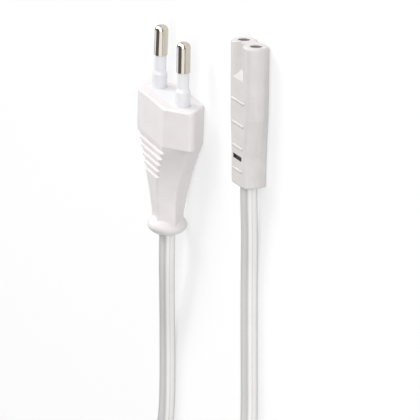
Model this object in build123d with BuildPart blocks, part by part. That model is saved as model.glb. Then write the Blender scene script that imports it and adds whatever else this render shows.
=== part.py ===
from build123d import *
import os
from math import cos, degrees, pi, radians, sin, tan

# Mains lead lying on a table: a two-pin plug and a two-hole appliance connector, both flat on a
# broad face, joined by a flat two-core cord whose spare length is wound into a tied coil.
# Millimetres, +Z up, table at Z = 0, origin on the table under the plug's straight part.
# Every "behind" distance is measured from the plug's pin face or the connector's nose face.

# Flat two-core cord
cord_width = 6.3
cord_thickness = 3.9
core_diameter = 2.4
core_spacing = 2.5
strand_diameter = 1.1

# Plug body: flattened hexagon, bevelled shoulder, ribbed taper, neck and round collar
plug_width = 35.0
plug_flat = 20.7
plug_thickness = 12.8
plug_straight = 11.5
plug_corner = 1.6
plug_face_round = 0.7
shoulder_behind = 13.5
shoulder_section = (29.2, 19.4, 12.4)
grip_behind = 20.0
grip_section = (19.6, 11.8, 11.9)
waist_behind = 27.5
waist_section = (13.0, 7.0, 10.3)
neck_behind = 35.5
neck_section = (11.8, 5.0, 8.2)
taper_corner = 0.9
collar_behind = 40.0
collar_diameter = 11.4
collar_start = 33.9
collar_start_diameter = 6.4
plug_length = 41.7
collar_end_diameter = 7.0
collar_swell = (1.3, 0.7)

# Grip grooves across both broad faces of the plug
groove_count = 5
groove_first_behind = 13.5
groove_pitch = 2.2
groove_radius = 0.8
groove_depth = 0.7

# Contact pins, their sleeves and the carrier that holds them
pin_spacing = 18.6
pin_tip_spacing = 17.5
pin_length = 19.0
pin_diameter = 4.0
pin_tip_round = 1.7
sleeve_length = 10.0
sleeve_diameter = 3.5
sleeve_base_length = 4.2
sleeve_base_diameter = 4.4
sleeve_cone_length = 1.0
shank_diameter = 2.8
carrier_depth = 8.5
carrier_width = 25.2
carrier_height = 6.6
pin_flange_diameter = 4.8
pin_flange_behind = 3.0
pin_flange_length = 2.0
pin_crimp_diameter = 3.4
pin_crimp_length = 5.5
pin_crimp_bore_depth = 4.4

# Cores inside the plug
plug_core_gap = 1.0
plug_core_straight = 3.2
plug_core_slant = 8.8
plug_cord_behind = 33.5
plug_core_bend = 4.2

# Appliance connector body: lobed nose, wide front, narrower rear
connector_nose = (50.8, 36.65)
connector_yaw = 3.6
connector_length = 40.5
connector_thickness = 7.0
front_width = 15.6
front_flat = 12.2
front_side = 2.0
front_corner = 2.4
front_length = 13.0
shoulder_front_behind = 20.5
shoulder_front_flat = 11.4
shoulder_front_corner = 2.0
rear_behind = 31.5
rear_width = 10.5
rear_flat = 9.6
rear_side = 1.9
rear_corner = 1.0
tail_flat = 9.0
nose_round = 0.7
tail_round = 0.8
lobe_web = 4.2
lobe_groove_length = 7.7
lobe_groove_end = 10.0
cross_rib_count = 4
cross_rib_first_behind = 16.2
cross_rib_pitch = 6.53
cross_rib_radius = 0.45
cross_rib_height = 0.25
cross_rib_margin = 1.5
slot_behind = 32.2
slot_length = 6.0
slot_width = 1.3

# Contacts of the connector and the carrier moulded round them
contact_spacing = 8.6
entry_diameter = 3.3
entry_depth = 1.2
entry_lead_in = 0.2
contact_bore = 2.4
contact_wall = 0.5
contact_length = 12.0
contact_bore_depth = 10.5
contact_crimp_diameter = 2.8
contact_crimp_length = 4.8
contact_crimp_bore_depth = 4.0
insert_wall = 0.8
insert_web = 3.0
insert_block_behind = 18.5
insert_block_width = 12.6
insert_block_height = 4.6
insert_tail_behind = 26.0
insert_tail_width = 7.6
insert_tail_height = 5.8
connector_core_gap = 1.0
connector_core_straight = 3.5
connector_core_slant = 7.5
connector_cord_behind = 35.0
connector_core_bend = 6.0

# Coil of the spare cord and the strap that ties it
coil_center = (24.9, -149.0)
coil_mean_diameter = 63.5
coil_turns_across = 4
coil_layers = 2
coil_round = 1.9
coil_lead = 22.0
lead_inset = 0.5
lead_lift = 0.15
tie_width = 9.0
tie_thickness = 0.8

# Places the cord passes on its way to the coil: falling, lying on the table, climbing to the top layer
plug_exit_run = 6.7
plug_cord_fall = [(-3.7, -58.0, 4.4), (-7.5, -73.0, 2.4)]
plug_cord_table = [(-7.5, -88.0), (-7.6, -99.0)]
connector_exit_run = 3.0
connector_cord_fall = [(52.8, -18.5, 2.7)]
connector_cord_table = [(51.7, -31.0), (52.9, -45.0), (54.3, -60.0), (55.4, -71.5)]
connector_cord_climb = [(57.4, -82.5, 2.7), (59.6, -95.0, 5.4)]
coil_approach = 14.0

# Share of the shorter run that each arc of a cord's route takes up
arc_share = 0.45

# Heights and frames worked out from the sizes above
plug_axis_z = plug_thickness / 2
connector_axis_z = connector_thickness / 2 + cross_rib_height
plug_plane = Plane(origin=(0, plug_straight / 2, plug_axis_z), x_dir=(1, 0, 0), z_dir=(0, -1, 0))
yaw = radians(connector_yaw)
connector_plane = Plane(
    origin=(*connector_nose, connector_axis_z),
    x_dir=(cos(yaw), sin(yaw), 0),
    z_dir=(sin(yaw), -cos(yaw), 0),
)
cord_area = pi * cord_thickness**2 / 4 + (cord_width - cord_thickness) * cord_thickness


def half_height(turned):
    """Half the height of the cord's section when it is turned up on edge by an angle."""
    return cord_thickness / 2 + (cord_width - cord_thickness) / 2 * sin(radians(turned))


def place(plane, across, up, behind):
    """Point given across, above and behind a plug or connector face."""
    return plane.from_local_coords(Vector(across, up, behind))


def lengthwise(plane, across, up, behind):
    """Plane through a point, facing across the piece, with its x axis pointing to the cord."""
    return Plane(origin=place(plane, across, up, behind), x_dir=plane.z_dir, z_dir=-plane.x_dir)


def between(behind, stations, index):
    """One measure of a tapering body at a distance behind its face."""
    for (near, *near_sizes), (far, *far_sizes) in zip(stations, stations[1:]):
        if behind <= far:
            share = max(0, (behind - near) / (far - near))
            return near_sizes[index] + share * (far_sizes[index] - near_sizes[index])
    return stations[-1][1 + index]


def hexagon(width, flat, thickness):
    """Corners of a flattened hexagon with its points at mid thickness."""
    return [
        (width / 2, 0),
        (flat / 2, thickness / 2),
        (-flat / 2, thickness / 2),
        (-width / 2, 0),
        (-flat / 2, -thickness / 2),
        (flat / 2, -thickness / 2),
    ]


def octagon(width, flat, thickness, side):
    """Corners of a rectangle with bevelled corners."""
    return [
        (width / 2, side / 2),
        (flat / 2, thickness / 2),
        (-flat / 2, thickness / 2),
        (-width / 2, side / 2),
        (-width / 2, -side / 2),
        (-flat / 2, -thickness / 2),
        (flat / 2, -thickness / 2),
        (width / 2, -side / 2),
    ]


def rod(points, bend, diameter):
    """Round wire along a route of straight runs and equal bends."""
    with BuildPart() as wire:
        with BuildLine() as route:
            FilletPolyline(*points, radius=bend)
        with BuildSketch(Plane(origin=route.line @ 0, z_dir=route.line % 0)):
            Circle(diameter / 2)
        sweep(path=route.wire())
    return wire.part


def arc_radii(points):
    """Radius at each corner of a cord's route, as large as its shorter run allows."""
    radii = []
    for before, corner, after in zip(points, points[1:], points[2:]):
        first_run = Vector(*corner) - Vector(*before)
        next_run = Vector(*after) - Vector(*corner)
        half_turn = radians(first_run.get_angle(next_run)) / 2
        radii.append(arc_share * min(first_run.length, next_run.length) / tan(half_turn))
    return radii


def cord_run(points, label):
    """Flat cord along a route, lying on its broad face."""
    radii = arc_radii(points)
    with BuildPart() as cord:
        with BuildLine() as route:
            FilletPolyline(*points, radius=radii)
        start = route.line % 0
        level = Vector(-start.Y, start.X, 0)
        with BuildSketch(Plane(origin=route.line @ 0, x_dir=level, z_dir=start)):
            SlotOverall(cord_width, cord_thickness)
        sweep(path=route.wire())
    cord.part.label = label
    length = sum(edge.length for edge in route.edges())
    print(label, "arc radii", [round(radius, 1) for radius in radii])
    print(label, "length", round(length, 1), "volume share", round(cord.part.volume / cord_area / length, 4))
    return cord


os.makedirs("parts", exist_ok=True)

# Contact pins: round tip, thin shank in the sleeve, flange in the carrier, crimp barrel behind
pin_lean = (pin_spacing - pin_tip_spacing) / 2 / pin_length
crimp_end = carrier_depth + pin_crimp_length
plug_core_turn = crimp_end + plug_core_straight
pins = {}
pin_axes = {}
for side, name in ((-1, "pin_left"), (1, "pin_right")):
    root = place(plug_plane, side * pin_spacing / 2, 0, 0)
    aim = Vector(-side * pin_lean, 1, 0).normalized()
    axis_plane = Plane(origin=root, x_dir=(0, 0, 1), z_dir=aim)
    with BuildPart() as pin:
        with BuildSketch(axis_plane.offset(sleeve_length)):
            Circle(pin_diameter / 2)
        extrude(amount=pin_length - sleeve_length)
        fillet(pin.faces().sort_by(Axis.Y)[-1].edges(), pin_tip_round)
        with BuildSketch(axis_plane.offset(-carrier_depth)):
            Circle(shank_diameter / 2)
        extrude(amount=carrier_depth + sleeve_length)
        with BuildSketch(axis_plane.offset(-pin_flange_behind - pin_flange_length)):
            Circle(pin_flange_diameter / 2)
        extrude(amount=pin_flange_length)
        with BuildSketch(axis_plane.offset(-crimp_end)):
            Circle(pin_crimp_diameter / 2)
        extrude(amount=pin_crimp_length)
        with BuildSketch(axis_plane.offset(-crimp_end)):
            Circle(strand_diameter / 2)
        extrude(amount=pin_crimp_bore_depth, mode=Mode.SUBTRACT)
    pin.part.label = name
    export_step(pin.part, f"parts/{name}.step")
    pins[side] = pin
    pin_axes[side] = axis_plane

# Pin carrier: a bar flush with the plug's face, with a sleeve round each pin
with BuildPart() as pin_carrier:
    with BuildSketch(plug_plane):
        SlotOverall(carrier_width, carrier_height)
    extrude(amount=carrier_depth)
    for side, axis_plane in pin_axes.items():
        sleeve_plane = Plane(origin=axis_plane.origin, x_dir=axis_plane.z_dir, z_dir=(0, 0, 1))
        with BuildSketch(sleeve_plane):
            with BuildLine():
                Polyline(
                    (-pin_flange_behind, 0),
                    (-pin_flange_behind, sleeve_base_diameter / 2),
                    (sleeve_base_length, sleeve_base_diameter / 2),
                    (sleeve_base_length + sleeve_cone_length, sleeve_diameter / 2),
                    (sleeve_length, sleeve_diameter / 2),
                    (sleeve_length, 0),
                    close=True,
                )
            make_face()
        revolve(axis=Axis(axis_plane.origin, axis_plane.z_dir))
    for pin in pins.values():
        add(pin.part, mode=Mode.SUBTRACT)
pin_carrier.part.label = "pin_carrier"
export_step(pin_carrier.part, "parts/pin_carrier.step")

# Stranded conductors and insulated cores from the pins back to the cord's end
plug_cores = []
for side, polarity in ((-1, "blue"), (1, "brown")):
    axis_plane = pin_axes[side]
    across = side * core_spacing / 2
    turn = axis_plane.from_local_coords(Vector(0, 0, -plug_core_turn))
    join = place(plug_plane, across, 0, plug_core_turn + plug_core_slant)
    end = place(plug_plane, across, 0, plug_cord_behind)
    crimp_floor = axis_plane.from_local_coords(Vector(0, 0, pin_crimp_bore_depth - crimp_end))
    core_start = axis_plane.from_local_coords(Vector(0, 0, -crimp_end - plug_core_gap))
    with BuildPart() as strand:
        add(rod([crimp_floor, turn, join, end], plug_core_bend, strand_diameter))
    with BuildPart() as core:
        add(rod([core_start, turn, join, end], plug_core_bend, core_diameter))
        add(strand.part, mode=Mode.SUBTRACT)
    strand.part.label = f"plug_strand_{polarity}"
    core.part.label = f"plug_core_{polarity}"
    export_step(strand.part, f"parts/plug_strand_{polarity}.step")
    export_step(core.part, f"parts/plug_core_{polarity}.step")
    plug_cores += [strand, core]

# Cord from inside the plug, down to the table and across it to the coil
coil_x, coil_y = coil_center
coil_half_span = coil_turns_across * cord_thickness / 2
coil_height = coil_layers * cord_width
coil_lead_x = (coil_mean_diameter - cord_thickness) / 2 + coil_half_span - lead_inset
top_layer_z = coil_height - cord_width / 2
lead_end_y = coil_y + coil_lead
lying_cord_z = cord_thickness / 2
plug_route = [
    (0, plug_straight / 2 - plug_cord_behind, plug_axis_z),
    (0, plug_straight / 2 - plug_length - plug_exit_run, plug_axis_z),
    *plug_cord_fall,
    *((x, y, lying_cord_z) for x, y in plug_cord_table),
    (coil_x - coil_lead_x, lead_end_y + coil_approach, lying_cord_z),
    (coil_x - coil_lead_x, lead_end_y, lying_cord_z),
]
cord_plug_side = cord_run(plug_route, "cord_plug_side")
export_step(cord_plug_side.part, "parts/cord_plug_side.step")

# Cord from inside the connector, down to the table and up over the edge of the coil
connector_route = [
    tuple(place(connector_plane, 0, 0, connector_cord_behind)),
    tuple(place(connector_plane, 0, 0, connector_length + connector_exit_run)),
    *connector_cord_fall,
    *((x, y, lying_cord_z) for x, y in connector_cord_table),
    *connector_cord_climb,
    (coil_x + coil_lead_x, lead_end_y + coil_approach, top_layer_z),
    (coil_x + coil_lead_x, lead_end_y, top_layer_z),
]
cord_connector_side = cord_run(connector_route, "cord_connector_side")
export_step(cord_connector_side.part, "parts/cord_connector_side.step")

# Plug body moulded round the carrier, the crimps, the cores and the cord's end
taper_stations = [
    (plug_straight, plug_width, plug_flat, plug_thickness),
    (shoulder_behind, *shoulder_section),
    (grip_behind, *grip_section),
    (waist_behind, *waist_section),
    (neck_behind, *neck_section),
]
with BuildPart() as plug_body:
    with BuildSketch(plug_plane) as pin_face:
        Polygon(*hexagon(plug_width, plug_flat, plug_thickness))
        fillet(pin_face.vertices(), plug_corner)
    extrude(amount=plug_straight)
    fillet(plug_body.faces().sort_by(Axis.Y)[-1].edges(), plug_face_round)
    for behind, section in ((plug_straight, taper_stations[0][1:]), (shoulder_behind, shoulder_section)):
        with BuildSketch(plug_plane.offset(behind)) as shoulder:
            Polygon(*hexagon(*section))
            fillet(shoulder.vertices(), plug_corner)
    loft(ruled=True)
    for index, (behind, *section) in enumerate(taper_stations[1:]):
        share = index / (len(taper_stations) - 2)
        with BuildSketch(plug_plane.offset(behind)) as station:
            Polygon(*hexagon(*section))
            fillet(station.vertices(), plug_corner + share * (taper_corner - plug_corner))
    loft()
    with BuildSketch(plug_plane.offset(neck_behind)) as neck:
        Polygon(*hexagon(*neck_section))
        fillet(neck.vertices(), taper_corner)
    extrude(amount=collar_behind - neck_behind)
    with BuildSketch(lengthwise(plug_plane, 0, 0, 0)):
        with BuildLine():
            flare_foot = (collar_start, collar_start_diameter / 2)
            rim = (collar_behind, collar_diameter / 2)
            heel = (plug_length, collar_end_diameter / 2)
            Polyline((plug_length, 0), (collar_start, 0), flare_foot)
            Spline(flare_foot, rim, heel, tangents=((1, 0), (0, -1)), tangent_scalars=collar_swell)
            Line(heel, (plug_length, 0))
        make_face()
    revolve(axis=Axis(plug_plane.origin, plug_plane.z_dir))
    for index in range(groove_count):
        behind = groove_first_behind + index * groove_pitch
        surface = between(behind, taper_stations, 2) / 2
        for side in (-1, 1):
            rise = side * (surface - groove_depth + groove_radius)
            with BuildSketch(lengthwise(plug_plane, 0, rise, behind)):
                Circle(groove_radius)
            extrude(amount=plug_width / 2, both=True, mode=Mode.SUBTRACT)
    for inner in (pin_carrier, *pins.values(), *plug_cores, cord_plug_side):
        add(inner.part, mode=Mode.SUBTRACT)
plug_body.part.label = "plug_body"
export_step(plug_body.part, "parts/plug_body.step")

# Tubular contacts of the connector, with a crimp barrel behind each
contact_end = entry_depth + contact_length
contact_crimp_end = contact_end + contact_crimp_length
connector_core_turn = contact_crimp_end + connector_core_straight
contact_outer = contact_bore + 2 * contact_wall
contacts = {}
for side, name in ((-1, "contact_left"), (1, "contact_right")):
    with BuildPart() as contact:
        mouth = Plane(
            origin=place(connector_plane, side * contact_spacing / 2, 0, entry_depth),
            x_dir=connector_plane.x_dir,
            z_dir=connector_plane.z_dir,
        )
        with BuildSketch(mouth):
            Circle(contact_outer / 2)
        extrude(amount=contact_length)
        with BuildSketch(mouth.offset(contact_length)):
            Circle(contact_crimp_diameter / 2)
        extrude(amount=contact_crimp_length)
        with BuildSketch(mouth):
            Circle(contact_bore / 2)
        extrude(amount=contact_bore_depth, mode=Mode.SUBTRACT)
        with BuildSketch(mouth.offset(contact_length + contact_crimp_length - contact_crimp_bore_depth)):
            Circle(strand_diameter / 2)
        extrude(amount=contact_crimp_bore_depth, mode=Mode.SUBTRACT)
    contact.part.label = name
    export_step(contact.part, f"parts/{name}.step")
    contacts[side] = contact

# Conductors and cores from the contacts back to the cord's end
connector_cores = []
for side, polarity in ((-1, "blue"), (1, "brown")):
    across = side * core_spacing / 2
    lane = side * contact_spacing / 2
    turn = place(connector_plane, lane, 0, connector_core_turn)
    join = place(connector_plane, across, 0, connector_core_turn + connector_core_slant)
    end = place(connector_plane, across, 0, connector_cord_behind)
    crimp_floor = place(connector_plane, lane, 0, contact_crimp_end - contact_crimp_bore_depth)
    core_start = place(connector_plane, lane, 0, contact_crimp_end + connector_core_gap)
    with BuildPart() as strand:
        add(rod([crimp_floor, turn, join, end], connector_core_bend, strand_diameter))
    with BuildPart() as core:
        add(rod([core_start, turn, join, end], connector_core_bend, core_diameter))
        add(strand.part, mode=Mode.SUBTRACT)
    strand.part.label = f"connector_strand_{polarity}"
    core.part.label = f"connector_core_{polarity}"
    export_step(strand.part, f"parts/connector_strand_{polarity}.step")
    export_step(core.part, f"parts/connector_core_{polarity}.step")
    connector_cores += [strand, core]

# Contact carrier: two barrels and a web at the front, a block round the cores behind
with BuildPart() as contact_carrier:
    with BuildSketch(connector_plane.offset(entry_depth)):
        with Locations((-contact_spacing / 2, 0), (contact_spacing / 2, 0)):
            Circle(contact_outer / 2 + insert_wall)
        Rectangle(contact_spacing, insert_web)
    extrude(amount=insert_block_behind - entry_depth)
    with BuildSketch(connector_plane.offset(insert_block_behind)):
        Rectangle(insert_block_width, insert_block_height)
    with BuildSketch(connector_plane.offset(insert_tail_behind)):
        Rectangle(insert_tail_width, insert_tail_height)
    loft(ruled=True)
    with BuildSketch(connector_plane.offset(insert_tail_behind)):
        Rectangle(insert_tail_width, insert_tail_height)
    extrude(amount=connector_cord_behind - insert_tail_behind)
    for inner in (*contacts.values(), *connector_cores):
        add(inner.part, mode=Mode.SUBTRACT)
    with BuildSketch(connector_plane.offset(entry_depth)):
        with Locations((-contact_spacing / 2, 0), (contact_spacing / 2, 0)):
            Circle(contact_bore / 2)
    extrude(amount=contact_bore_depth, mode=Mode.SUBTRACT)
contact_carrier.part.label = "contact_carrier"
export_step(contact_carrier.part, "parts/contact_carrier.step")

# Grooves between the nose lobes, one on each broad face, running out on a slope
lobe_radius = connector_thickness / 2
lobe_grooves = []
for side in (-1, 1):
    with BuildPart() as lobe_groove:
        with BuildSketch(connector_plane):
            with Locations((0, side * (lobe_web / 2 + lobe_radius / 2))):
                Rectangle(contact_spacing, lobe_radius)
            with Locations((-contact_spacing / 2, 0), (contact_spacing / 2, 0)):
                Circle(lobe_radius, mode=Mode.SUBTRACT)
        extrude(amount=lobe_groove_end)
        with BuildSketch(lengthwise(connector_plane, 0, 0, 0)):
            with BuildLine():
                up = side * connector_plane.y_dir.Z
                Polyline(
                    (lobe_groove_length, up * lobe_web / 2),
                    (lobe_groove_end, up * lobe_radius),
                    (lobe_groove_end, 0),
                    (lobe_groove_length, 0),
                    close=True,
                )
            make_face()
        extrude(amount=contact_spacing / 2, both=True, mode=Mode.SUBTRACT)
    lobe_grooves.append(lobe_groove)

# Connector body moulded round the carrier and the cord's end
front_section = (front_width, front_flat, connector_thickness, front_side)
shoulder_front_section = (front_width, shoulder_front_flat, connector_thickness, front_side)
shoulder_stations = [
    (front_length, front_section, front_corner),
    (shoulder_front_behind, shoulder_front_section, shoulder_front_corner),
    (rear_behind, (rear_width, rear_flat, connector_thickness, rear_side), rear_corner),
    (connector_length, (rear_width, tail_flat, connector_thickness, rear_side), rear_corner),
]
flat_stations = [(behind, section[1]) for behind, section, corner in shoulder_stations]
with BuildPart() as connector_body:
    with BuildSketch(connector_plane) as nose:
        Polygon(*octagon(*front_section))
        fillet(nose.vertices(), front_corner)
    extrude(amount=front_length)
    fillet(connector_body.faces().sort_by(Axis.Y)[-1].edges(), nose_round)
    for near, far in zip(shoulder_stations, shoulder_stations[1:]):
        for behind, section, corner in (near, far):
            with BuildSketch(connector_plane.offset(behind)) as station:
                Polygon(*octagon(*section))
                fillet(station.vertices(), corner)
        loft(ruled=True)
    fillet(connector_body.faces().sort_by(Axis.Y)[0].edges(), tail_round)
    for index in range(cross_rib_count):
        behind = cross_rib_first_behind + index * cross_rib_pitch
        half_length = between(behind, flat_stations, 0) / 2 - cross_rib_margin
        for side in (-1, 1):
            rise = side * (connector_thickness / 2 + cross_rib_height - cross_rib_radius)
            with BuildSketch(lengthwise(connector_plane, 0, rise, behind)):
                Circle(cross_rib_radius)
            extrude(amount=half_length, both=True)
    for lobe_groove in lobe_grooves:
        add(lobe_groove.part, mode=Mode.SUBTRACT)
    with BuildSketch(connector_plane):
        with Locations((-contact_spacing / 2, 0), (contact_spacing / 2, 0)):
            Circle(entry_diameter / 2)
    extrude(amount=entry_depth, mode=Mode.SUBTRACT)
    nose_face = connector_body.faces().sort_by(Axis(connector_plane.origin, connector_plane.z_dir))[0]
    mouth_edges = nose_face.inner_wires().edges()
    chamfer(mouth_edges, entry_lead_in)
    with BuildSketch(connector_plane):
        with Locations((-contact_spacing / 2, 0), (contact_spacing / 2, 0)):
            Circle(contact_bore / 2)
    extrude(amount=entry_depth + contact_bore_depth, mode=Mode.SUBTRACT)
    slot_plane = Plane(
        origin=place(connector_plane, 0, insert_tail_height / 2, slot_behind),
        x_dir=connector_plane.x_dir,
        z_dir=(0, 0, 1),
    )
    with BuildSketch(slot_plane):
        Rectangle(slot_length, slot_width)
    extrude(amount=connector_thickness, mode=Mode.SUBTRACT)
    for inner in (contact_carrier, *contacts.values(), *connector_cores, cord_connector_side):
        add(inner.part, mode=Mode.SUBTRACT)
connector_body.part.label = "connector_body"
export_step(connector_body.part, "parts/connector_body.step")

# Strap round the coil's turns, flush with their outer shape
coil_axis = Axis((coil_x, coil_y, 0), (0, 0, 1))
tie_arc = tie_width / (coil_mean_diameter / 2)


def coil_section(angle):
    """Plane across the coil's turns at an angle round its axis, centred on them."""
    out = Vector(cos(angle), sin(angle), 0)
    middle = Vector(coil_x, coil_y, coil_height / 2) + out * (coil_mean_diameter / 2)
    return Plane(origin=middle, x_dir=out, z_dir=(out.Y, -out.X, 0))


with BuildPart() as coil_tie:
    with BuildSketch(coil_section(-pi / 2 - tie_arc / 2)):
        RectangleRounded(2 * coil_half_span, coil_height, coil_round)
        offset(amount=-tie_thickness, mode=Mode.SUBTRACT)
    revolve(axis=coil_axis, revolution_arc=degrees(tie_arc))
coil_tie.part.label = "coil_tie"
export_step(coil_tie.part, "parts/coil_tie.step")

# Outer shape of the coil, with the two leads that twist off it towards the plug and the connector
with BuildPart() as cord_coil:
    with BuildSketch(coil_section(0)):
        RectangleRounded(2 * coil_half_span, coil_height, coil_round)
    revolve(axis=coil_axis)
    for side in (-1, 1):
        for share in (0, 0.5, 1):
            turned = share * 90
            height = half_height(turned) + share * lead_lift if side < 0 else top_layer_z - share * lead_lift
            middle = (coil_x + side * coil_lead_x, lead_end_y - share * coil_lead, height)
            with BuildSketch(Plane(origin=middle, x_dir=(1, 0, 0), z_dir=(0, -1, 0))):
                SlotOverall(cord_width, cord_thickness, rotation=-turned)
        loft()
    add(coil_tie.part, mode=Mode.SUBTRACT)
cord_coil.part.label = "cord_coil"
export_step(cord_coil.part, "parts/cord_coil.step")
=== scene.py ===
"""Mains lead on a pale floor: a moulded plug, an appliance connector and a flat cord with a tied coil."""
from math import cos, pi, radians, sin, sqrt

import bmesh
import bpy
from mathutils import Matrix, Vector


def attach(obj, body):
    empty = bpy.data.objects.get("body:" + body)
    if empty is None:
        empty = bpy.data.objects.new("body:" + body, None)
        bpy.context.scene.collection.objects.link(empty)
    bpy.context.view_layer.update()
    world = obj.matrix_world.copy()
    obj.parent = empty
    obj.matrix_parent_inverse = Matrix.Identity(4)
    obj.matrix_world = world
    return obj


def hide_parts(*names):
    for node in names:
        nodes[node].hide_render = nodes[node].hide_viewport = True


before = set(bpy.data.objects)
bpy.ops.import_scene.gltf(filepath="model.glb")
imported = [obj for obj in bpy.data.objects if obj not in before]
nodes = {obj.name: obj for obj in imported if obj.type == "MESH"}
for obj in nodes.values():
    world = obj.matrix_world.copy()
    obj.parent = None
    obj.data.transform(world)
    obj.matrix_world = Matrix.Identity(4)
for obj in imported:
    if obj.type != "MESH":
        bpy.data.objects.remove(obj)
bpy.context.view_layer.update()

MM = 0.001

# Splines that routes are drawn with
SPLINE_ORDER = 3
SPLINE_STEPS = 4

# The cord's section and its route on the floor, in millimetres, the same places as the solids follow
CORD_WIDTH = 6.3
CORD_THICKNESS = 3.9
CORD_SEGMENTS = 32
CORD_CROWN = 0.012
CROWN_HALF = 0.01
CORD_LYING = 1.95
PLUG_ROUTE = [
    (0.0, -27.75, 6.4),
    (0.0, -42.65, 6.4),
    (-3.7, -58.0, 4.4),
    (-7.5, -73.0, 2.4),
    (-7.5, -88.0, CORD_LYING),
    (-7.6, -99.0, CORD_LYING),
    (-12.2, -113.0, CORD_LYING),
    (-12.2, -127.0, CORD_LYING),
    (-12.6, -139.0, 3.15),
]
CONNECTOR_ROUTE = [
    (52.998, 1.719, 3.75),
    (53.531, -6.764, 3.75),
    (52.8, -18.5, 2.7),
    (51.7, -31.0, CORD_LYING),
    (52.9, -45.0, CORD_LYING),
    (54.3, -60.0, CORD_LYING),
    (55.4, -71.5, CORD_LYING),
    (57.4, -82.5, 2.7),
    (59.6, -95.0, 5.4),
    (62.0, -113.0, 9.45),
    (62.0, -127.0, 9.45),
    (62.4, -139.0, 9.45),
]
LEAD_END = -127.0

# The coil: wound inwards below, climbing on the inside and wound outwards above, angles in degrees along it
COIL_CENTER = (24.9, -149.0)
COIL_OUTER_TURN = 37.6
COIL_TURN_STEP = 3.9
COIL_LAYER_STEP = 6.3
COIL_POINTS_PER_TURN = 24
COIL_START = 180
COIL_END = 2520
COIL_SHIFT = 60
INWARD_SHIFTS = (480, 840, 1200)
CLIMB = (1440, 1550)
OUTWARD_SHIFTS = (1740, 2100, 2460)
TIE_ANGLE = 270
TIE_LIFT = 0.92
TIE_LIFT_FLAT = 9
TIE_LIFT_REACH = 45

# The strap round the turns: its line as distance from the coil's axis and height
STRAP_WIDTH = 9.0
STRAP_THICKNESS = 0.8
STRAP_SEGMENTS = 20
STRAP_BEND = 31.75
STRAP_TIP = 4.0
STRAP_TIP_WIDTH = 0.3
STRAP_ROUTE = [
    (33.0, 13.98),
    (27.0, 13.98),
    (24.7, 13.98),
    (23.45, 12.8),
    (23.45, 10.5),
    (23.45, 3.5),
    (23.45, 1.7),
    (24.7, 0.44),
    (27.0, 0.44),
    (36.5, 0.44),
    (38.8, 0.44),
    (40.05, 1.7),
    (40.05, 3.5),
    (40.05, 5.6),
    (39.7, 7.4),
    (37.0, 12.9),
    (35.6, 14.4),
    (33.8, 14.86),
    (31.5, 14.86),
    (26.5, 14.86),
]
STITCH_ROWS = (29.3, 31.2)
STITCHES_PER_ROW = 7
STITCH_PITCH = 1.12
STITCH_SIZE = (0.92, 0.36, 0.3)
STITCH_SEGMENTS = (8, 6)

# Colours of the finishes
PLUG_PALE = (0.668, 0.633, 0.638, 1)
PLUG_DEEP = (0.640, 0.605, 0.609, 1)
CONNECTOR_PALE = (0.556, 0.538, 0.530, 1)
CONNECTOR_DEEP = (0.529, 0.510, 0.502, 1)
SLEEVE_PALE = (0.669, 0.669, 0.689, 1)
SLEEVE_DEEP = (0.645, 0.645, 0.667, 1)
NICKEL_BRIGHT = (0.62, 0.575, 0.50, 1)
NICKEL_DULL = (0.55, 0.51, 0.44, 1)
BRASS_BRIGHT = (0.74, 0.58, 0.28, 1)
BRASS_DULL = (0.55, 0.40, 0.18, 1)
COPPER_BRIGHT = (0.78, 0.44, 0.27, 1)
COPPER_DULL = (0.52, 0.26, 0.15, 1)
INSERT_PALE = (0.030, 0.030, 0.031, 1)
INSERT_DEEP = (0.016, 0.016, 0.017, 1)
BROWN_PALE = (0.20, 0.095, 0.05, 1)
BROWN_DEEP = (0.15, 0.07, 0.036, 1)
BLUE_PALE = (0.06, 0.20, 0.55, 1)
BLUE_DEEP = (0.045, 0.15, 0.45, 1)
# The cord's broad faces carry painted shade and its round edges painted light
BROAD_PAINTED_SHADE_PALE = (0.484, 0.475, 0.465, 1)
BROAD_PAINTED_SHADE_DEEP = (0.465, 0.456, 0.445, 1)
EDGE_PAINTED_LIGHT_PALE = (0.711, 0.697, 0.686, 1)
EDGE_PAINTED_LIGHT_DEEP = (0.688, 0.673, 0.661, 1)
# Painted shade: a darker line along the cord's crease
CREASE_PAINTED_SHADE = (0.564, 0.550, 0.540, 1)
STRAP_PALE = (0.82, 0.82, 0.81, 1)
STRAP_DEEP = (0.52, 0.52, 0.515, 1)
THREAD_PALE = (0.86, 0.86, 0.85, 1)
FLOOR_PALE = (0.36, 0.36, 0.36, 1)
FLOOR_DEEP = (0.33, 0.33, 0.33, 1)

# Mouldings: pale and deep colour, clouds and grain per metre, smooth and rough, grain's depth in millimetres
BODY_ROUGH = (0.42, 0.6)
CORE_ROUGH = (0.35, 0.5)
MOULDINGS = {
    "plug_white": (PLUG_PALE, PLUG_DEEP, 170.0, 4200.0, BODY_ROUGH, 0.012),
    "connector_white": (CONNECTOR_PALE, CONNECTOR_DEEP, 220.0, 4200.0, BODY_ROUGH, 0.012),
    "sleeve_white": (SLEEVE_PALE, SLEEVE_DEEP, 260.0, 5200.0, (0.3, 0.45), 0.006),
    "insert_black": (INSERT_PALE, INSERT_DEEP, 300.0, 4200.0, (0.4, 0.6), 0.012),
    "core_brown": (BROWN_PALE, BROWN_DEEP, 240.0, 3600.0, CORE_ROUGH, 0.008),
    "core_blue": (BLUE_PALE, BLUE_DEEP, 240.0, 3600.0, CORE_ROUGH, 0.008),
}
GRAIN_STRENGTH = 0.6
PLUG_SEAM = 6.4
CONNECTOR_SEAM = 3.75
SEAM_HALF = 0.16
SEAM_RISE = 0.06
SEAM_STRENGTH = 0.5

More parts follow.
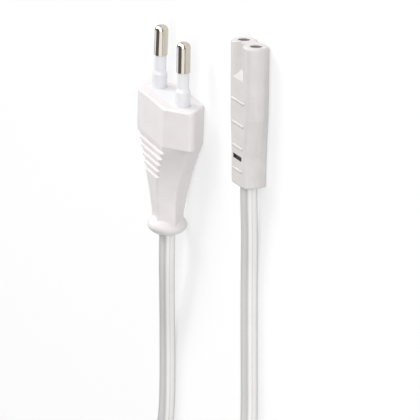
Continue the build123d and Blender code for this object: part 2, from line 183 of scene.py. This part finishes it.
# Metals: bright and dull colour, rings and rubs per metre, smooth and rough
METALS = {
    "pin_nickel": (NICKEL_BRIGHT, NICKEL_DULL, 7000.0, 900.0, (0.1, 0.2)),
    "contact_brass": (BRASS_BRIGHT, BRASS_DULL, 6000.0, 700.0, (0.25, 0.42)),
    "strand_copper": (COPPER_BRIGHT, COPPER_DULL, 5000.0, 3000.0, (0.25, 0.4)),
}
RING_STRETCH = (0.03, 1.0, 0.03)
RUB_STRETCH = (1.0, 0.06, 1.0)
RUB_RANGE = (0.42, 0.68)
WEAR_RANGE = (0.4, 1.5)
METAL_DEPTH = 0.004
METAL_STRENGTH = 0.4

# Noise: steps of detail, and the ranges that it is read over
PLAIN_DETAIL = 2.0
FINE_DETAIL = 3.0
CLOUD_RANGE = (0.35, 0.65)
GRAIN_RANGE = (0.3, 0.7)

# Sheath of the cord: its lines, clouds, painted shade on the broad faces, painted light on the round edges,
# and creases with a painted shade line, in millimetres from its middle
SHEATH_LINES = 2200.0
LINE_STRETCH = (1.0, 1.0, 0.02)
SHEATH_CLOUDS = 90.0
CLOUD_STRETCH = (0.4, 0.4, 1.0)
TONE_RANGE = (0.75, 1.25)
SHEATH_ROUGH = (0.26, 0.36)
PAINTED_LIGHT_RANGE = (2.4, 2.8)
SKIN_DEPTH = 0.012
SKIN_STRENGTH = 0.5
CREASE_HEIGHT = 0.3
CREASE_HALF = 0.32
CREASE_DEPTH = 0.05
CREASE_STRENGTH = 0.4

# Weave of the strap, its nap and the thread that sews it, in millimetres and per metre
STRAP_THREAD = 1.1
NAP_SCALE = 3000.0
NAP_SHARE = 0.8
WEAVE_RANGE = (0.2, 1.6)
WEAVE_DEPTH = 0.22
WEAVE_STRENGTH = 0.8
STRAP_ROUGH = (0.75, 0.95)
STRAP_SHEEN = 0.25
TWIST_SCALE = 900.0
TWIST_WANDER = 1.5
TWIST_DEPTH = 0.05
TWIST_STRENGTH = 0.6
THREAD_ROUGH = 0.7

# Floor: half its side in metres, and its surface
FLOOR_HALF = 3.0
FLOOR_CLOUDS = 6.0
FLOOR_ROUGH = 0.9
FLOOR_SPECULAR = 0.1
FLOOR_GLOW = 0.57

# Painted shade in the openings of the connector, in millimetres from the middle of its nose face
CONNECTOR_NOSE = (50.8, 36.65, 3.75)
CONNECTOR_YAW = 3.6
ENTRY_ASIDE = 4.3
ENTRY_RADIUS = 1.68
ENTRY_REACH = 12.0
ENTRY_SHADE = 0.55
WINDOW_BEHIND = 32.2
WINDOW_HALF = (3.02, 0.68)
WINDOW_TOP = 3.48
OPENING_RIM = 0.05
# Dark tone of the painted shade inside the openings
OPENING_PAINTED_SHADE = (0.05, 0.049, 0.047, 1)

# Camera: a long lens that sees the lead lying with its pins to the top of the picture
VIEW_AZIMUTH = 111.205
VIEW_ELEVATION = 21.070
VIEW_ROLL = -1.864
VIEW_DISTANCE = 1000.0
VIEW_FAR = 10.0
VIEW_TARGET = (28.31, -19.70, 4.75)
LENS_PIXELS = 3509.85
PHOTO_WIDTH = 420
SENSOR_WIDTH = 36.0

# Soft boxes: place and target in millimetres, width and height in millimetres, watts
SOFT_BOXES = {
    "pin_side_box": ((150, 1100, 900), (25, 0, 0), 1200, 900, 8.5),
    "low_pin_side_box": ((250, 1300, 350), (25, 0, 0), 1400, 500, 2.5),
    "near_pin_side_box": ((1100, 420, 850), (25, -30, 0), 1000, 800, 11.0),
    "near_cord_side_box": ((1141, -506, 697), (25, -30, 0), 900, 1250, 4.3),
    "far_cord_side_box": ((-998, -506, 828), (25, -30, 0), 900, 960, 3.2),
    "cord_end_box": ((900, -1100, 520), (25, -30, 0), 900, 700, 3.0),
    "far_pin_side_box": ((-900, 900, 800), (25, -30, 0), 1000, 800, 17.5),
}
WORLD_GLOW = 0.15


def smooth_share(value, start, end):
    """How far value has gone from start to end, eased at both ends."""
    share = min(1.0, max(0.0, (value - start) / (end - start)))
    return share * share * (3 - 2 * share)


def spline_line(name, places):
    """Points along the smooth line that a NURBS spline makes of a route."""
    curve = bpy.data.curves.new(name, "CURVE")
    curve.dimensions = "3D"
    curve.resolution_u = SPLINE_STEPS
    spline = curve.splines.new("NURBS")
    spline.points.add(len(places) - 1)
    for point, place in zip(spline.points, places):
        point.co = (*(Vector(place) * MM), 1)
    spline.order_u = SPLINE_ORDER
    spline.use_endpoint_u = True
    route = bpy.data.objects.new(name, curve)
    mesh = bpy.data.meshes.new_from_object(route)
    line = [vertex.co.copy() for vertex in mesh.vertices]
    bpy.data.meshes.remove(mesh)
    bpy.data.objects.remove(route)
    bpy.data.curves.remove(curve)
    return line


def line_direction(index, line):
    """Direction of a line at one of its points."""
    return (line[min(index + 1, len(line) - 1)] - line[max(index - 1, 0)]).normalized()


def coil_place(angle):
    """Control point of the cord at an angle along the coil, a little outside the turn that it makes."""
    radius = COIL_OUTER_TURN
    radius -= COIL_TURN_STEP * sum(smooth_share(angle, at, at + COIL_SHIFT) for at in INWARD_SHIFTS)
    radius += COIL_TURN_STEP * sum(smooth_share(angle, at, at + COIL_SHIFT) for at in OUTWARD_SHIFTS)
    # A spline of this order passes inside the points of a circle by this share
    radius /= 0.75 + 0.25 * cos(2 * pi / COIL_POINTS_PER_TURN)
    height = COIL_LAYER_STEP * (0.5 + smooth_share(angle, *CLIMB))
    from_tie = abs((angle - TIE_ANGLE + 180) % 360 - 180)
    height += TIE_LIFT * (1 - smooth_share(from_tie, TIE_LIFT_FLAT, TIE_LIFT_REACH))
    x, y = COIL_CENTER
    return x + radius * cos(radians(angle)), y + radius * sin(radians(angle)), height


def cord_route():
    """Control points from the plug, round the coil and on to the connector."""
    step = 360 / COIL_POINTS_PER_TURN
    count = round((COIL_END - COIL_START) / step)
    turns = [coil_place(COIL_START + index * step) for index in range(1, count)]
    return PLUG_ROUTE + turns + CONNECTOR_ROUTE[::-1]


def cord_frames(line):
    """Matrices that stand the cord's section across its line: flat on the floor, on edge in the coil."""
    coil_y = COIL_CENTER[1] * MM
    lead_y = LEAD_END * MM
    in_coil = [index for index, point in enumerate(line) if point.y < coil_y]
    frames = []
    for index, here in enumerate(line):
        along = line_direction(index, line)
        level = Vector((-along.y, along.x, 0)).normalized()
        over = along.cross(level)
        turned = pi / 2
        if not in_coil[0] <= index <= in_coil[-1]:
            turned -= pi / 2 * smooth_share(here.y, coil_y, lead_y)
        broad = level * cos(turned) - over * sin(turned)
        turn = Matrix((broad, along.cross(broad), along)).transposed().to_4x4()
        frames.append(Matrix.Translation(here) @ turn)
    return frames


def oval_ring(mesh, width, thickness, segments, crown):
    """Rim of a flat section with round edges and slightly crowned broad faces."""
    ring = bmesh.ops.create_circle(mesh, segments=segments, radius=thickness / 2)["verts"]
    flat = (width - thickness) / 2
    for vertex in ring:
        if abs(vertex.co.x) > thickness * CROWN_HALF:
            vertex.co.x += flat if vertex.co.x > 0 else -flat
            vertex.co.y *= 1 - crown
    return ring


def carry_ring(mesh, ring, frames, line, follow):
    """Tube grown from a rim by extruding it from one frame of the line to the next."""
    for vertex in ring:
        vertex[follow] = (vertex.co.x, vertex.co.y, 0)
    start = frames[0]
    bmesh.ops.transform(mesh, matrix=start, verts=ring)
    first_rim = list(mesh.edges)
    rim = first_rim
    distance = 0.0
    for index in range(1, len(frames)):
        grown = bmesh.ops.extrude_edge_only(mesh, edges=rim)["geom"]
        ring = [item for item in grown if isinstance(item, bmesh.types.BMVert)]
        rim = [item for item in grown if isinstance(item, bmesh.types.BMEdge)]
        end = frames[index]
        bmesh.ops.transform(mesh, matrix=end @ start.inverted(), verts=ring)
        start = end
        distance += (line[index] - line[index - 1]).length
        for vertex in ring:
            vertex[follow].z = distance
    bmesh.ops.contextual_create(mesh, geom=first_rim)
    bmesh.ops.contextual_create(mesh, geom=rim)
    bmesh.ops.recalc_face_normals(mesh, faces=mesh.faces)


def finished_piece(mesh, name):
    """Object made from a bmesh, shaded smooth and riding on the lead."""
    data = bpy.data.meshes.new(name)
    mesh.to_mesh(data)
    mesh.free()
    data.shade_smooth()
    piece = bpy.data.objects.new(name, data)
    bpy.context.scene.collection.objects.link(piece)
    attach(piece, "root")
    return piece


def build_cord(line):
    """Flat sheath from the plug to the connector."""
    mesh = bmesh.new()
    follow = mesh.verts.layers.float_vector.new("sheath")
    ring = oval_ring(mesh, CORD_WIDTH * MM, CORD_THICKNESS * MM, CORD_SEGMENTS, CORD_CROWN)
    carry_ring(mesh, ring, cord_frames(line), line, follow)
    return finished_piece(mesh, "cord")


def bend_round_coil(mesh):
    """Bends what was made straight across the tie's middle to follow the turns."""
    x, y = (value * MM for value in COIL_CENTER)
    for vertex in mesh.verts:
        angle = (vertex.co.x - x) / (STRAP_BEND * MM)
        reach = y - vertex.co.y
        vertex.co.x = x + reach * sin(angle)
        vertex.co.y = y - reach * cos(angle)


def build_strap():
    """Woven strap wound once round the turns, its round tip sewn down on top of its other end."""
    x, y = COIL_CENTER
    line = spline_line("strap_route", [(x, y - reach, height) for reach, height in STRAP_ROUTE])
    length = sum((after - before).length for before, after in zip(line, line[1:]))
    mesh = bmesh.new()
    follow = mesh.verts.layers.float_vector.new("strap")
    ring = oval_ring(mesh, STRAP_WIDTH * MM, STRAP_THICKNESS * MM, STRAP_SEGMENTS, 0)
    broad = Vector((1, 0, 0))
    frames = []
    passed = 0.0
    for index, here in enumerate(line):
        passed += (here - line[max(index - 1, 0)]).length
        along = line_direction(index, line)
        into_tip = min(1.0, max(0.0, 1 - (length - passed) / (STRAP_TIP * MM)))
        width = max(STRAP_TIP_WIDTH, sqrt(1 - into_tip**2))
        turn = Matrix((broad, along.cross(broad), along)).transposed().to_4x4()
        frames.append(Matrix.Translation(here) @ turn @ Matrix.Diagonal((width, 1, 1, 1)))
    carry_ring(mesh, ring, frames, line, follow)
    bend_round_coil(mesh)
    return finished_piece(mesh, "coil_strap")


def build_stitches():
    """Two rows of thread that sew the strap's tip down."""
    x, y = COIL_CENTER
    top = STRAP_ROUTE[-1][1] + STRAP_THICKNESS / 2
    around, upward = STITCH_SEGMENTS
    mesh = bmesh.new()
    for row in STITCH_ROWS:
        for index in range(STITCHES_PER_ROW):
            aside = (index - (STITCHES_PER_ROW - 1) / 2) * STITCH_PITCH
            place = Matrix.Translation(Vector((x + aside, y - row, top)) * MM)
            size = Matrix.Diagonal((*(Vector(STITCH_SIZE) * MM), 1))
            bmesh.ops.create_uvsphere(
                mesh, u_segments=around, v_segments=upward, radius=0.5, matrix=place @ size
            )
    bend_round_coil(mesh)
    return finished_piece(mesh, "strap_stitches")


def feed(tree, socket, value):
    """Links an output to a socket, or sets the socket's own value."""
    if isinstance(value, bpy.types.NodeSocket):
        tree.links.new(value, socket)
    else:
        socket.default_value = value


def make_node(tree, kind, inputs=None, **settings):
    """Node with its settings, and its inputs linked or set by name or number."""
    node = tree.nodes.new(kind)
    for name, value in settings.items():
        setattr(node, name, value)
    for name, value in (inputs or {}).items():
        feed(tree, node.inputs[name], value)
    return node


def blend_colours(tree, share, first, second):
    """Colour between two others by a share, through the mix node's numbered colour sockets."""
    node = make_node(tree, "ShaderNodeMix", data_type="RGBA")
    for number, value in ((0, share), (6, first), (7, second)):
        feed(tree, node.inputs[number], value)
    return node.outputs[2]


def spread(tree, value, low, high, to_low=0.0, to_high=1.0):
    """Value stretched from one range to another and held inside it."""
    inputs = {"Value": value, "From Min": low, "From Max": high, "To Min": to_low, "To Max": to_high}
    return make_node(tree, "ShaderNodeMapRange", inputs).outputs["Result"]


def combine(tree, operation, first, second):
    """Sum, product or other of two values."""
    return make_node(tree, "ShaderNodeMath", {0: first, 1: second}, operation=operation).outputs["Value"]


def noise(tree, place, scale, detail=PLAIN_DETAIL):
    """Soft noise at a place."""
    inputs = {"Vector": place, "Scale": scale, "Detail": detail}
    return make_node(tree, "ShaderNodeTexNoise", inputs).outputs["Fac"]


def stretched(tree, place, scale):
    """Place drawn out or squeezed along its axes."""
    return make_node(tree, "ShaderNodeMapping", {"Vector": place, "Scale": scale}).outputs["Vector"]


FLOAT = "NodeSocketFloat"
COLOUR = "NodeSocketColor"
VECTOR = "NodeSocketVector"
SURFACE = {"Colour": COLOUR, "Roughness": FLOAT, "Height": FLOAT}


def new_group(name, inputs, outputs):
    """Empty shader group with named sockets, and the sockets inside it."""
    group = bpy.data.node_groups.new(name, "ShaderNodeTree")
    for label, kind in inputs.items():
        group.interface.new_socket(name=label, in_out="INPUT", socket_type=kind)
    for label, kind in outputs.items():
        group.interface.new_socket(name=label, in_out="OUTPUT", socket_type=kind)
    entry = group.nodes.new("NodeGroupInput").outputs
    way_out = group.nodes.new("NodeGroupOutput").inputs
    return group, entry, way_out


def moulded_grain_group():
    """Moulded plastic: pale clouds in the colour and a fine even grain from the mould."""
    group, entry, way_out = new_group(
        "moulded_grain",
        {
            "Place": VECTOR,
            "Pale": COLOUR,
            "Deep": COLOUR,
            "Clouds": FLOAT,
            "Grain": FLOAT,
            "Smooth": FLOAT,
            "Rough": FLOAT,
        },
        SURFACE,
    )
    clouds = noise(group, entry["Place"], entry["Clouds"], FINE_DETAIL)
    grain = noise(group, entry["Place"], entry["Grain"])
    tone = spread(group, clouds, *CLOUD_RANGE)
    feed(group, way_out["Colour"], blend_colours(group, tone, entry["Pale"], entry["Deep"]))
    roughness = spread(group, grain, *GRAIN_RANGE, entry["Smooth"], entry["Rough"])
    feed(group, way_out["Roughness"], roughness)
    feed(group, way_out["Height"], combine(group, "ADD", grain, clouds))
    return group


def parting_line_group():
    """Fine ridge left where the two halves of a mould met at one height."""
    group, entry, way_out = new_group(
        "parting_line", {"Place": VECTOR, "Level": FLOAT, "Half Width": FLOAT}, {"Ridge": FLOAT}
    )
    height = make_node(group, "ShaderNodeSeparateXYZ", {0: entry["Place"]}).outputs["Z"]
    away = combine(group, "ABSOLUTE", combine(group, "SUBTRACT", height, entry["Level"]), 0.0)
    feed(group, way_out["Ridge"], spread(group, away, 0.0, entry["Half Width"], 1.0, 0.0))
    return group


def connector_painted_shade_group():
    """Share of painted shade, up to one, inside the connector's two entries and its window, where little
    light falls.
    """
    group, entry, way_out = new_group("connector_painted_shade", {"Place": VECTOR}, {"Inside": FLOAT})
    nose = Vector(CONNECTOR_NOSE) * MM
    inputs = {0: entry["Place"], 1: nose}
    from_nose = make_node(group, "ShaderNodeVectorMath", inputs, operation="SUBTRACT").outputs["Vector"]
    turn = (0, 0, radians(-CONNECTOR_YAW))
    along = make_node(group, "ShaderNodeMapping", {"Vector": from_nose, "Rotation": turn}).outputs["Vector"]
    parts = make_node(group, "ShaderNodeSeparateXYZ", {0: along}).outputs
    aside = combine(group, "ABSOLUTE", parts["X"], 0.0)
    from_axis = combine(group, "SUBTRACT", aside, ENTRY_ASIDE * MM)
    aside_square = combine(group, "POWER", from_axis, 2.0)
    height_square = combine(group, "POWER", parts["Z"], 2.0)
    away = combine(group, "SQRT", combine(group, "ADD", aside_square, height_square), 0.0)
    entries = spread(group, away, ENTRY_RADIUS * MM, (ENTRY_RADIUS + OPENING_RIM) * MM, ENTRY_SHADE, 0.0)
    near_nose = spread(group, parts["Y"], -(ENTRY_REACH + OPENING_RIM) * MM, -ENTRY_REACH * MM)
    entries = combine(group, "MULTIPLY", entries, near_nose)
    lengthwise = combine(group, "ABSOLUTE", combine(group, "ADD", parts["Y"], WINDOW_BEHIND * MM), 0.0)
    window = spread(group, lengthwise, WINDOW_HALF[1] * MM, (WINDOW_HALF[1] + OPENING_RIM) * MM, 1.0, 0.0)
    across = spread(group, aside, WINDOW_HALF[0] * MM, (WINDOW_HALF[0] + OPENING_RIM) * MM, 1.0, 0.0)
    sunk = spread(group, parts["Z"], (WINDOW_TOP - OPENING_RIM) * MM, WINDOW_TOP * MM, 1.0, 0.0)
    window = combine(group, "MULTIPLY", window, combine(group, "MULTIPLY", across, sunk))
    feed(group, way_out["Inside"], combine(group, "MAXIMUM", entries, window))
    return group


def turned_metal_group():
    """Turned metal: fine rings round the length and a few long rubs along it."""
    group, entry, way_out = new_group(
        "turned_metal",
        {
            "Place": VECTOR,
            "Bright": COLOUR,
            "Dull": COLOUR,
            "Rings": FLOAT,
            "Rubs": FLOAT,
            "Smooth": FLOAT,
            "Rough": FLOAT,
        },
        SURFACE,
    )
    rings = noise(group, stretched(group, entry["Place"], RING_STRETCH), entry["Rings"])
    rubs = noise(group, stretched(group, entry["Place"], RUB_STRETCH), entry["Rubs"], FINE_DETAIL)
    worn = spread(group, rubs, *RUB_RANGE)
    wear = combine(group, "ADD", rings, worn)
    feed(group, way_out["Colour"], blend_colours(group, worn, entry["Bright"], entry["Dull"]))
    roughness = spread(group, wear, *WEAR_RANGE, entry["Smooth"], entry["Rough"])
    feed(group, way_out["Roughness"], roughness)
    feed(group, way_out["Height"], rings)
    return group


def new_material(name):
    """Material with its tree and its shader."""
    material = bpy.data.materials.new(name)
    material.use_nodes = True
    return material, material.node_tree, material.node_tree.nodes["Principled BSDF"]


def object_place(tree):
    """Place on the object itself, in metres."""
    return make_node(tree, "ShaderNodeTexCoord").outputs["Object"]


def bump(tree, height, depth, strength, under=None):
    """Normal raised by a height, over another normal where one is given."""
    inputs = {"Height": height, "Distance": depth * MM, "Strength": strength}
    if under is not None:
        inputs["Normal"] = under
    return make_node(tree, "ShaderNodeBump", inputs).outputs["Normal"]


def use_group(tree, group, inputs):
    """One use of a group in a material, with its own values."""
    node = make_node(tree, "ShaderNodeGroup", node_tree=group)
    for name, value in inputs.items():
        feed(tree, node.inputs[name], value)
    return node.outputs


def moulded_material(name, pale, deep, clouds, grain, rough, depth, seam=None, painted_opening_shade=None):
    """Moulded plastic, with a parting line where a height is given and painted shade inside its openings
    where a share for it is given.
    """
    material, tree, shader = new_material(name)
    place = object_place(tree)
    values = {"Place": place, "Pale": pale, "Deep": deep, "Clouds": clouds, "Grain": grain}
    surface = use_group(tree, moulded_grain, values | {"Smooth": rough[0], "Rough": rough[1]})
    colour = surface["Colour"]
    normal = bump(tree, surface["Height"], depth, GRAIN_STRENGTH)
    if seam is not None:
        inputs = {"Place": place, "Level": seam * MM, "Half Width": SEAM_HALF * MM}
        ridge = use_group(tree, parting_line, inputs)["Ridge"]
        normal = bump(tree, ridge, SEAM_RISE, SEAM_STRENGTH, normal)
    if painted_opening_shade is not None:
        # Painted shade: inside the openings the colour is blended towards a dark tone
        painted_shade = use_group(tree, painted_opening_shade, {"Place": place})["Inside"]
        colour = blend_colours(tree, painted_shade, colour, OPENING_PAINTED_SHADE)
    feed(tree, shader.inputs["Base Color"], colour)
    feed(tree, shader.inputs["Roughness"], surface["Roughness"])
    feed(tree, shader.inputs["Normal"], normal)
    return material


def metal_material(name, bright, dull, rings, rubs, rough):
    """Turned and plated or bare metal."""
    material, tree, shader = new_material(name)
    values = {"Place": object_place(tree), "Bright": bright, "Dull": dull, "Rings": rings, "Rubs": rubs}
    surface = use_group(tree, turned_metal, values | {"Smooth": rough[0], "Rough": rough[1]})
    feed(tree, shader.inputs["Base Color"], surface["Colour"])
    feed(tree, shader.inputs["Roughness"], surface["Roughness"])
    feed(tree, shader.inputs["Normal"], bump(tree, surface["Height"], METAL_DEPTH, METAL_STRENGTH))
    shader.inputs["Metallic"].default_value = 1.0
    return material


def sheath_material():
    """Cord sheath: faint lines along it, broad faces toned darker as painted shade, round edges paler as
    painted light, and a fine sunk crease with a painted shade line.
    """
    material, tree, shader = new_material("sheath_white")
    follow = make_node(tree, "ShaderNodeAttribute", attribute_name="sheath").outputs["Vector"]
    parts = make_node(tree, "ShaderNodeSeparateXYZ", {0: follow}).outputs
    lines = noise(tree, stretched(tree, follow, LINE_STRETCH), SHEATH_LINES, FINE_DETAIL)
    clouds = noise(tree, stretched(tree, follow, CLOUD_STRETCH), SHEATH_CLOUDS)
    tone = spread(tree, combine(tree, "ADD", lines, clouds), *TONE_RANGE)
    aside = combine(tree, "ABSOLUTE", parts["X"], 0.0)
    painted_light_share = spread(tree, aside, PAINTED_LIGHT_RANGE[0] * MM, PAINTED_LIGHT_RANGE[1] * MM)
    from_crease = combine(tree, "SUBTRACT", parts["Y"], CREASE_HEIGHT * MM)
    from_crease = combine(tree, "ABSOLUTE", from_crease, 0.0)
    near_crease = spread(tree, from_crease, 0.0, CREASE_HALF * MM, 1.0, 0.0)
    crease_and_painted_shade = combine(tree, "MULTIPLY", painted_light_share, near_crease)
    # Painted shade: the broad faces take a darker tone; painted light: the round edges take a paler one
    broad = blend_colours(tree, tone, BROAD_PAINTED_SHADE_PALE, BROAD_PAINTED_SHADE_DEEP)
    edge_painted_light = blend_colours(tree, tone, EDGE_PAINTED_LIGHT_PALE, EDGE_PAINTED_LIGHT_DEEP)
    sheath = blend_colours(tree, painted_light_share, broad, edge_painted_light)
    # Painted shade: a darker line along the crease, over the real sunk bump below
    feed(tree, shader.inputs["Base Color"], blend_colours(tree, crease_and_painted_shade, sheath, CREASE_PAINTED_SHADE))
    feed(tree, shader.inputs["Roughness"], spread(tree, lines, *GRAIN_RANGE, *SHEATH_ROUGH))
    skin = bump(tree, lines, SKIN_DEPTH, SKIN_STRENGTH)
    sunk = combine(tree, "MULTIPLY", crease_and_painted_shade, -1.0)
    feed(tree, shader.inputs["Normal"], bump(tree, sunk, CREASE_DEPTH, CREASE_STRENGTH, skin))
    return material


def strap_material():
    """White woven strap: threads over and under each other, with a soft nap."""
    material, tree, shader = new_material("strap_white")
    follow = make_node(tree, "ShaderNodeAttribute", attribute_name="strap").outputs["Vector"]
    parts = make_node(tree, "ShaderNodeSeparateXYZ", {0: follow}).outputs
    turns = 2 * pi / (STRAP_THREAD * MM)
    across = combine(tree, "SINE", combine(tree, "MULTIPLY", parts["X"], turns), 0.0)
    along = combine(tree, "SINE", combine(tree, "MULTIPLY", parts["Z"], turns), 0.0)
    weave = spread(tree, combine(tree, "MULTIPLY", across, along), -1.0, 1.0)
    nap = noise(tree, follow, NAP_SCALE, FINE_DETAIL)
    raised = combine(tree, "ADD", weave, combine(tree, "MULTIPLY", nap, NAP_SHARE))
    threads = spread(tree, raised, *WEAVE_RANGE)
    feed(tree, shader.inputs["Base Color"], blend_colours(tree, threads, STRAP_DEEP, STRAP_PALE))
    feed(tree, shader.inputs["Roughness"], spread(tree, nap, *GRAIN_RANGE, *STRAP_ROUGH))
    feed(tree, shader.inputs["Normal"], bump(tree, threads, WEAVE_DEPTH, WEAVE_STRENGTH))
    shader.inputs["Sheen Weight"].default_value = STRAP_SHEEN
    return material


def thread_material():
    """Sewing thread with a slant twist."""
    material, tree, shader = new_material("thread_white")
    inputs = {"Vector": object_place(tree), "Scale": TWIST_SCALE, "Distortion": TWIST_WANDER}
    twist = make_node(tree, "ShaderNodeTexWave", inputs, bands_direction="DIAGONAL").outputs["Fac"]
    feed(tree, shader.inputs["Base Color"], blend_colours(tree, twist, STRAP_DEEP, THREAD_PALE))
    feed(tree, shader.inputs["Normal"], bump(tree, twist, TWIST_DEPTH, TWIST_STRENGTH))
    shader.inputs["Roughness"].default_value = THREAD_ROUGH
    return material


def floor_material():
    """Pale floor with the faintest unevenness, lit a little from within so that it stays white."""
    material, tree, shader = new_material("floor_white")
    clouds = noise(tree, object_place(tree), FLOOR_CLOUDS, FINE_DETAIL)
    feed(tree, shader.inputs["Base Color"], blend_colours(tree, clouds, FLOOR_PALE, FLOOR_DEEP))
    shader.inputs["Roughness"].default_value = FLOOR_ROUGH
    shader.inputs["Specular IOR Level"].default_value = FLOOR_SPECULAR
    shader.inputs["Emission Color"].default_value = (1, 1, 1, 1)
    shader.inputs["Emission Strength"].default_value = FLOOR_GLOW
    return material


def paint(piece, material):
    """Gives a piece one material all over."""
    piece.data.materials.clear()
    piece.data.materials.append(material)


def add_camera():
    """Camera whose picture has the plug's pin direction upright."""
    azimuth = radians(VIEW_AZIMUTH)
    elevation = radians(VIEW_ELEVATION)
    back = Vector((sin(azimuth) * cos(elevation), -cos(azimuth) * cos(elevation), sin(elevation)))
    pins = Vector((0, 1, 0))
    up = (pins - back * pins.dot(back)).normalized()
    right = up.cross(back)
    roll = radians(VIEW_ROLL)
    up = up * cos(roll) + right * sin(roll)
    right = up.cross(back)
    data = bpy.data.cameras.new("camera")
    data.sensor_width = SENSOR_WIDTH
    data.lens = LENS_PIXELS / PHOTO_WIDTH * SENSOR_WIDTH
    data.clip_end = VIEW_FAR
    camera = bpy.data.objects.new("camera", data)
    place = (Vector(VIEW_TARGET) + back * VIEW_DISTANCE) * MM
    turn = Matrix((right, up, back)).transposed().to_4x4()
    camera.matrix_world = Matrix.Translation(place) @ turn
    bpy.context.scene.collection.objects.link(camera)
    bpy.context.scene.camera = camera


def add_floor():
    """Pale floor that reaches past every view."""
    mesh = bmesh.new()
    bmesh.ops.create_grid(mesh, x_segments=1, y_segments=1, size=FLOOR_HALF)
    data = bpy.data.meshes.new("floor")
    mesh.to_mesh(data)
    mesh.free()
    floor = bpy.data.objects.new("floor", data)
    bpy.context.scene.collection.objects.link(floor)
    paint(floor, floor_material())


def add_soft_box(name, place, target, width, height, power):
    """Soft box at a place, turned to a target."""
    data = bpy.data.lights.new(name, "AREA")
    data.shape = "RECTANGLE"
    data.size = width * MM
    data.size_y = height * MM
    data.energy = power
    light = bpy.data.objects.new(name, data)
    light.location = Vector(place) * MM
    aim = Vector(target) - Vector(place)
    light.rotation_euler = aim.to_track_quat("-Z", "Y").to_euler()
    bpy.context.scene.collection.objects.link(light)


def add_world():
    """Dim even light from all round."""
    world = bpy.data.worlds.new("studio")
    world.use_nodes = True
    background = world.node_tree.nodes["Background"]
    background.inputs["Color"].default_value = (1, 1, 1, 1)
    background.inputs["Strength"].default_value = WORLD_GLOW
    bpy.context.scene.world = world


# The cord and what ties it
line = spline_line("cord_route", cord_route())
cord = build_cord(line)
strap = build_strap()
stitches = build_stitches()
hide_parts("cord_plug_side", "cord_coil", "cord_connector_side")
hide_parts("coil_tie")

# Materials
moulded_grain = moulded_grain_group()
parting_line = parting_line_group()
connector_painted_shade = connector_painted_shade_group()
turned_metal = turned_metal_group()
seams = {"plug_white": PLUG_SEAM, "connector_white": CONNECTOR_SEAM}
painted_opening_shade = {"connector_white": connector_painted_shade}
materials = {
    name: moulded_material(name, *values, seams.get(name), painted_opening_shade.get(name))
    for name, values in MOULDINGS.items()
}
materials |= {name: metal_material(name, *values) for name, values in METALS.items()}
finishes = {
    "plug_body": "plug_white",
    "connector_body": "connector_white",
    "pin_carrier": "sleeve_white",
    "pin_left": "pin_nickel",
    "pin_right": "pin_nickel",
    "contact_carrier": "insert_black",
    "contact_left": "contact_brass",
    "contact_right": "contact_brass",
}
for end in ("plug", "connector"):
    for polarity in ("brown", "blue"):
        finishes[f"{end}_core_{polarity}"] = f"core_{polarity}"
        finishes[f"{end}_strand_{polarity}"] = "strand_copper"
for name, finish in finishes.items():
    paint(nodes[name], materials[finish])
paint(cord, sheath_material())
paint(strap, strap_material())
paint(stitches, thread_material())

add_camera()
add_floor()
add_world()
for name, (place, target, width, height, power) in SOFT_BOXES.items():
    add_soft_box(name, place, target, width, height, power)
bpy.context.scene.view_settings.view_transform = "Standard"
